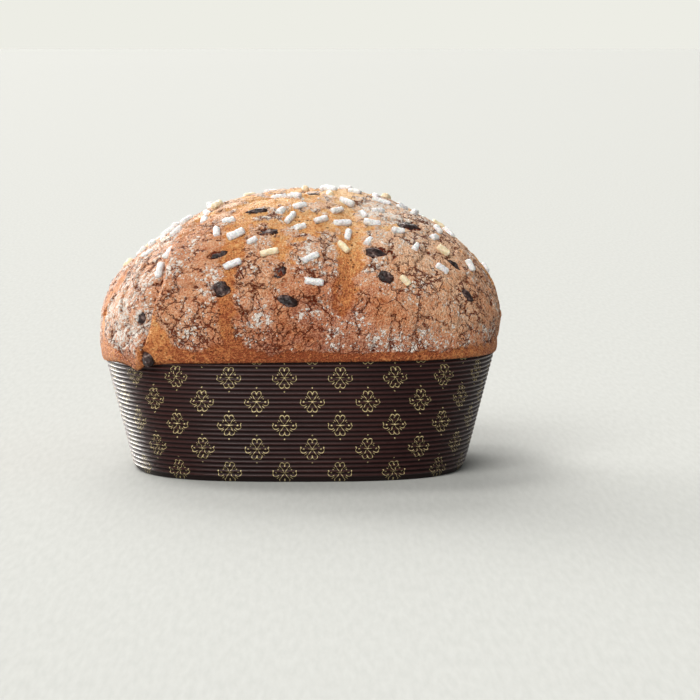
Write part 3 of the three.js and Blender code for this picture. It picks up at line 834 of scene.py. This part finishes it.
def rods_on_points(node, given):
    rod = node("GeometryNodeMeshCylinder", {
        "Vertices": 10, "Side Segments": 5, "Radius": given["Rod Radius"], "Depth": 1.0},
        {"fill_type": "NGON"})
    rounded = node("GeometryNodeSubdivisionSurface", {"Mesh": rod.outputs["Mesh"], "Level": 1})
    turn, stretch = (
        node("GeometryNodeInputNamedAttribute", {"Name": name}, {"data_type": "FLOAT_VECTOR"})
        for name in ("turn", "stretch"))
    placed = node("GeometryNodeInstanceOnPoints", {
        "Points": given["Geometry"], "Instance": rounded, "Scale": stretch,
        "Rotation": node("FunctionNodeEulerToRotation", {"Euler": turn})})
    real = node("GeometryNodeRealizeInstances", {"Geometry": placed})
    lumps = node(NOISE, {"Vector": node("GeometryNodeInputPosition"), "Detail": 4.0,
                         "Scale": node("DIVIDE", [1.0, given["Lump Size"]])})
    centred = node(VECTOR_MATH, [lumps.outputs["Color"], (0.5, 0.5, 0.5)], "SUBTRACT")
    offset = node(VECTOR_MATH, {"Vector": centred, "Scale": given["Roughening"]}, "SCALE")
    return node("GeometryNodeSetPosition", {"Geometry": real, "Offset": offset})


def grow_rods(name, chosen, material):
    turns, stretches, places = [], [], []
    for azimuth, rise, turn, length in chosen:
        lying = stand_on_crust(azimuth, rise, turn, ROD_LIFT)
        lying = lying @ Matrix.Rotation(math.radians(90), 4, "Y")
        thickness = ROD_THIN + ROD_THICKER * float(cell_number(length, turn, rise, 5))
        places.append(lying.translation[:])
        turns.append(lying.to_euler()[:])
        stretches.append((thickness, thickness, length * MM))
    points = new_mesh(name, places)
    store(points, turn=turns, stretch=stretches)
    return grow(name, points, ROD_VALUES, rods_on_points, material)


# %% Pearl sugar material
def sugar_finish(low, high):
    """Pressed sugar: bright, finely grainy, and a little light passes through it."""
    def build(node, place):
        grain = node(NOISE, {"Vector": place, "Scale": 900.0, "Detail": 3.0})
        colour = node(RAMP, {"Fac": grain}, {"stops": [(0.35, low), (0.65, high)]})
        bump = node(BUMP, {"Height": grain, "Strength": 0.8, "Distance": 0.5 * MM})
        return node(SHADER, {"Base Color": colour, "Roughness": 0.48, "Normal": bump,
                             "Subsurface Weight": 0.15, "Subsurface Scale": 2 * MM})
    return build


CREAM_SHARE = 0.14
white_sugar = finish_material("white pearl sugar", sugar_finish("#c6c7c9", "#eceded"))
cream_sugar = finish_material("cream pearl sugar", sugar_finish("#dac9a2", "#eee1c4"))
is_cream = [cell_number(n, 3, 8, 2) < CREAM_SHARE for n in range(len(rods))]
for name, material, wanted in (("sugar_rods_white", white_sugar, False),
                               ("sugar_rods_cream", cream_sugar, True)):
    chosen = [rod for rod, cream in zip(rods, is_cream) if cream == wanted]
    sugar = grow_rods(name, chosen, material)
    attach(sugar, "root")
    print(name, len(chosen), "rods,", len(sugar.data.polygons), "faces")

# %% [markdown]
# ## Chocolate chips
#
# The chips were folded into the dough, so each one sits in a pocket of the crust. A chip starts
# as a ball of small triangles and is drawn out to its three sizes. Noise on the direction of each
# point dents and melts it. All chips are one piece, which stands for the nineteen solid ones.

# %% Chips
CHIP_SINK = 0.25


def build_chips():
    ball = bmesh.new()
    bmesh.ops.create_icosphere(ball, subdivisions=4, radius=1.0)
    directions = np.array([v.co[:] for v in ball.verts])
    triangles = np.array([[v.index for v in f.verts] for f in ball.faces])
    ball.free()
    vertices, faces = [], []
    for index, (azimuth, rise, length, width, height, turn) in enumerate(CHIPS):
        half = np.array([length, width, height]) / 2
        seeded = directions + 10 * index
        lumpy = 1.0 + 0.22 * soft_noise(seeded, 0.7, 60) + 0.16 * soft_noise(seeded, 0.33, 61)
        lumpy += 0.07 * soft_noise(seeded, 0.15, 62)
        place = stand_on_crust(azimuth, rise, turn, -CHIP_SINK * height)
        lump = directions * lumpy[:, None] * half * MM
        faces += (triangles + sum(len(v) for v in vertices)).tolist()
        vertices.append(lump @ np.array(place.to_3x3()).T + np.array(place.translation))
    mesh = new_mesh("chocolate_chips", np.concatenate(vertices), faces)
    return place_object("chocolate_chips", mesh)


def chocolate_finish(node, place):
    """Dark chocolate, dull from the oven, with a grey bloom and a trace of icing sugar."""
    bloom = node(NOISE, {"Vector": place, "Scale": 320.0, "Detail": 4.0})
    colour = node(RAMP, {"Fac": bloom}, {"stops": [
        (0.38, "#140908"), (0.52, "#2d1b1a"), (0.62, "#54403d"), (0.74, "#a5958c")]})
    bump = node(BUMP, {"Height": bloom, "Strength": 1.0, "Distance": 1.5 * MM})
    return node(SHADER, {"Base Color": colour, "Roughness": 0.42, "Specular IOR Level": 0.35,
                         "Normal": bump})


chips = build_chips()
chips.data.materials.append(finish_material("dark chocolate", chocolate_finish))
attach(chips, "root")
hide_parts(*[f"chocolate_{n + 1:02d}" for n in range(len(CHIPS))])
print("chip triangles:", len(chips.data.polygons))

# %% [markdown]
# ## The paper case
#
# The case is stiff brown baking paper, pressed into level ridges 2.5 mm apart that give it
# strength. It could be turned on a lathe if it were round, but its plan is a rounded square. So
# a section is drawn once, as a chain of points from the middle of the base, up the wall, over the
# rim and back down inside, and Geometry Nodes carry it round the plan. The ridges are a named
# input of the tree, so their pitch and depth can be changed in one place.

# %% Section of the case
CASE_AROUND, ROWS_PER_RIDGE, VISUAL_RIDGE_DEPTH = 280, 8, 1.0


def case_section():
    """Radius and height along the section, in millimetres, and 1 where the wall is ridged."""
    def wall(z, offset):
        return CASE_BASE_RADIUS + CASE_FLARE * z + offset
    ridges = round((CASE_HEIGHT - CASE_FOOT) / RIDGE_PITCH)
    rows = np.linspace(CASE_FOOT, CASE_HEIGHT, ridges * ROWS_PER_RIDGE + 1)
    section = [(0.0, 0.0, 0), (wall(0, -CASE_FOOT) * 0.5, 0.0, 0), (wall(0, -CASE_FOOT), 0.0, 0)]
    for step in (0.25, 0.5, 0.75):
        bend = math.radians(90 * step)
        z = CASE_FOOT * (1 - math.cos(bend))
        inward = CASE_FOOT * (1 - math.sin(bend)) + VISUAL_RIDGE_DEPTH * step
        section.append((wall(z, -inward), z, 0))
    section += [(wall(z, 0.0), z, 1) for z in rows]
    for z, offset in ((CASE_HEIGHT, -CASE_WALL), (CASE_HEIGHT / 2, -CASE_WALL),
                      (CASE_FOOT + CASE_FLOOR, -CASE_WALL), (CASE_FLOOR, -CASE_WALL - CASE_FOOT)):
        section.append((wall(z, offset), z, 0))
    return np.array(section + [(0.0, CASE_FLOOR, 0)]), (CASE_HEIGHT - CASE_FOOT) / ridges


section, ridge_pitch = case_section()
CASE_VALUES = {
    "Squareness": CASE_SQUARENESS, "Ridge Pitch": ridge_pitch * MM,
    "Ridge Depth": VISUAL_RIDGE_DEPTH * MM, "First Ridge": CASE_FOOT * MM, "Groove Sharpness": 2.2}


# %% Case by Geometry Nodes
def section_round_plan(node, given):
    """Each row of a grid takes its radius and height from a point of the section."""
    grid = node("GeometryNodeMeshGrid", {
        "Size X": 1.0, "Size Y": 1.0, "Vertices X": CASE_AROUND + 1, "Vertices Y": len(section)})
    place = node(SPLIT, [node("GeometryNodeInputPosition")]).outputs
    turn = node("MULTIPLY", [place["X"], 2 * math.pi])
    row = node("MULTIPLY", [node("ADD", [place["Y"], 0.5]), len(section) - 1.0])
    point = node("GeometryNodeSampleIndex", {
        "Geometry": given["Geometry"], "Index": node("ROUND", [row]),
        "Value": node("GeometryNodeInputPosition")}, {"data_type": "FLOAT_VECTOR"})
    point = node(SPLIT, [point]).outputs
    sine, cosine = node("SINE", [turn]), node("COSINE", [turn])
    powers = [node("POWER", [node("ABSOLUTE", [wave]), given["Squareness"]])
              for wave in (sine, cosine)]
    root = node("DIVIDE", [-1.0, given["Squareness"]])
    plan = node("POWER", [node("ADD", powers), root])

    # A groove at each whole ridge, cut into the wall, and none where the section says 0
    phase = node("SUBTRACT", [point["Z"], given["First Ridge"]])
    phase = node("DIVIDE", [phase, given["Ridge Pitch"]])
    wave = node("COSINE", [node("MULTIPLY", [phase, math.pi])])
    groove = node("POWER", [node("ABSOLUTE", [wave]), given["Groove Sharpness"]])
    for share in (given["Ridge Depth"], point["Y"]):
        groove = node("MULTIPLY", [groove, share])
    radius = node("MULTIPLY", [node("SUBTRACT", [point["X"], groove]), plan])
    front = node("MULTIPLY", [node("MULTIPLY", [radius, cosine]), -1.0])
    at = node(JOIN, [node("MULTIPLY", [radius, sine]), front, point["Z"]])
    shaped = node("GeometryNodeSetPosition", {"Geometry": grid.outputs["Mesh"], "Position": at})
    closed = node("GeometryNodeMergeByDistance", {"Geometry": shaped, "Distance": 0.01 * MM})
    return node("GeometryNodeRealizeInstances", {"Geometry": closed})


# %% [markdown]
# ## Print and finish of the paper
#
# The paper is dark brown and slightly glossy, so each ridge catches a line of light and the far
# sides mirror the bright room. A small gold ornament of four leaves, an old and common kind of
# pattern, repeats over it in staggered rows. Each stroke is an ellipse in one half of the
# ornament, drawn as a part of a ring or filled, and mirrored into the other half. The print follows
# two measures that the mesh carries: millimetres round the wall from the front, and height.

# %% Case material
PRINT_COLUMNS, PRINT_ROWS, FIRST_COLUMN, FIRST_ROW = 28.9, 12.7, -7.7, 5.2
# Strokes: centre across and up, half sizes across and up, turn in degrees, half the line's
# thickness (0 is filled), and the part of the ring that is left out, from -1 (none) to 1
ORNAMENT = [
    (1.3, 3.9, 1.55, 1.2, 90, 0.15, -0.35), (1.35, 2.05, 1.75, 0.15, 56, 0, 0),
    (1.4, -3.9, 1.55, 1.3, -90, 0.15, -0.35), (1.4, -2.05, 1.75, 0.15, -55, 0, 0),
    (4.55, -0.45, 1.65, 1.65, -50, 0.15, -0.1), (6.0, 0.95, 0.32, 0.32, 0, 0, 0),
    (4.5, 0, 0.45, 0.4, 0, 0, 0), (0, 4.2, 0.36, 0.4, 0, 0, 0), (0, 0, 0.6, 0.45, 0, 0, 0),
    (3.5, -2.8, 0.95, 0.17, -40, 0, 0), (2.9, 2.5, 0.7, 0.12, 45, 0, 0),
    (3.5, 1.6, 0.3, 0.28, 0, 0, 0), (1.1, 0.1, 1.2, 0.1, 5, 0, 0),
    (PRINT_COLUMNS / 2, 5.3, 0.36, 0.36, 0, 0, 0), (PRINT_COLUMNS / 2, -5.3, 0.36, 0.36, 0, 0, 0),
]


def case_finish(node, place):
    along, up, printed, groove = (
        node(ATTRIBUTE, settings={"attribute_name": name}).outputs["Fac"]
        for name in ("along_mm", "up_mm", "printed", "groove"))

    # Place within the nearest ornament of the staggered rows
    from_first = node("SUBTRACT", [up, FIRST_ROW])
    row = node("ROUND", [node("DIVIDE", [from_first, PRINT_ROWS])])
    high = node("MULTIPLY_ADD", [row, -PRINT_ROWS, from_first])
    stagger = node("FLOORED_MODULO", [row, 2.0])
    across = node("SUBTRACT", [along, FIRST_COLUMN])
    across = node("MULTIPLY_ADD", [stagger, -PRINT_COLUMNS / 2, across])
    column = node("ROUND", [node("DIVIDE", [across, PRINT_COLUMNS])])
    across = node("MULTIPLY_ADD", [column, -PRINT_COLUMNS, across])
    half = node(JOIN, [node("ABSOLUTE", [across]), high])

    gold_mask = 0.0
    for x, y, half_x, half_y, turn, line, start in ORNAMENT:
        local = node("ShaderNodeMapping", {
            "Vector": half, "Location": (x, y, 0), "Scale": (half_x, half_y, 1),
            "Rotation": (0, 0, math.radians(turn))}, {"vector_type": "TEXTURE"})
        reach = node(VECTOR_MATH, [local], "LENGTH").outputs["Value"]
        if line:
            stroke = node("COMPARE", [reach, 1.0, line / min(half_x, half_y)])
            beyond = node("GREATER_THAN", [node(SPLIT, [local]).outputs["X"], start])
            stroke = node("MULTIPLY", [stroke, beyond])
        else:
            stroke = node("COMPARE", [reach, 0.0, 1.0])
        gold_mask = node("MAXIMUM", [stroke, gold_mask])
    gold_mask = node("MULTIPLY", [gold_mask, printed])

    drawn_out = node("ShaderNodeMapping", {"Vector": place, "Scale": (1, 1, 4)})
    fibres = node(NOISE, {"Vector": drawn_out, "Scale": 240.0, "Detail": 5.0})
    cloud = node(NOISE, {"Vector": place, "Scale": 22.0, "Detail": 3.0})
    paper = node(RAMP, {"Fac": cloud}, {"stops": [(0.3, "#270f10"), (0.7, "#3a1d1b")]})
    paper = node(MIX, [node("MULTIPLY", [fibres, 0.25]), paper, tint("#5c3634")], COLOURS)
    # Painted shade: the paper and the gold darken towards the bottom of each groove
    paper = node(MIX, [node("MULTIPLY", [groove, 0.9]), paper, tint("#0e0504")], COLOURS)
    gold = node(MIX, [node("MULTIPLY", [groove, 0.45]), tint("#d2c190"), tint("#7e6e42")], COLOURS)
    colour = node(MIX, [gold_mask, paper, gold], COLOURS)
    worn = node(RANGE, [fibres, 0.3, 0.7, 0.2, 0.34])
    worn = node("MULTIPLY_ADD", [groove, 0.42, worn])
    bump = node(BUMP, {"Height": fibres, "Strength": 0.3, "Distance": 0.2 * MM})
    return node(SHADER, {
        "Base Color": colour, "Roughness": worn, "Normal": bump, "Specular IOR Level": 0.26,
        "Metallic": node("MULTIPLY", [gold_mask, 0.1])})


# %% Build the case
def measure_round(mesh):
    """Stores millimetres round the wall, height, where print lies on the mesh, and how deep each
    point lies in a groove, for painted shade.
    """
    points = np.empty(len(mesh.vertices) * 3)
    mesh.vertices.foreach_get("co", points)
    points = points.reshape(-1, 3) / MM
    azimuth = np.degrees(np.arctan2(points[:, 0], -points[:, 1]))
    table = np.linspace(-180, 180, 1441)
    plan = polar(table, squareness(table, CASE_SQUARENESS), 0.0)
    steps = np.linalg.norm(np.diff(plan, axis=0), axis=1)
    length = np.concatenate([[0], np.cumsum(steps)])
    arc = np.interp(azimuth, table, length - length[len(length) // 2])
    # True length near the front, and whole columns round the back, where the print must meet
    columns = round(length[-1] * (CASE_BASE_RADIUS + CASE_FLARE * CASE_HEIGHT / 2) / PRINT_COLUMNS)
    shared = columns * PRINT_COLUMNS / length[-1]
    straight = fall(45, 120, np.abs(azimuth))
    radius = CASE_BASE_RADIUS + CASE_FLARE * points[:, 2]
    along = arc * (straight * radius + (1 - straight) * shared)
    out = np.hypot(points[:, 0], points[:, 1]) / squareness(azimuth, CASE_SQUARENESS)
    printed = (out > radius - CASE_FOOT * 0.6) * (points[:, 2] > 0.3)
    # How deep a point lies in a groove, which the finish paints as shade
    groove = np.clip((radius - out) / VISUAL_RIDGE_DEPTH, 0, 1) * printed
    store(mesh, along_mm=along, up_mm=points[:, 2], printed=printed, groove=groove)


section_mesh = new_mesh("case_section", [(r * MM, ridged, z * MM) for r, z, ridged in section])
case_paper = finish_material("ridged brown baking paper with gold print", case_finish)
case = grow("pleated_case", section_mesh, CASE_VALUES, section_round_plan, case_paper)
measure_round(case.data)
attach(case, "root")
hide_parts("paper_case")
print("case faces:", len(case.data.polygons), "box:", [round(v, 4) for v in case.dimensions])
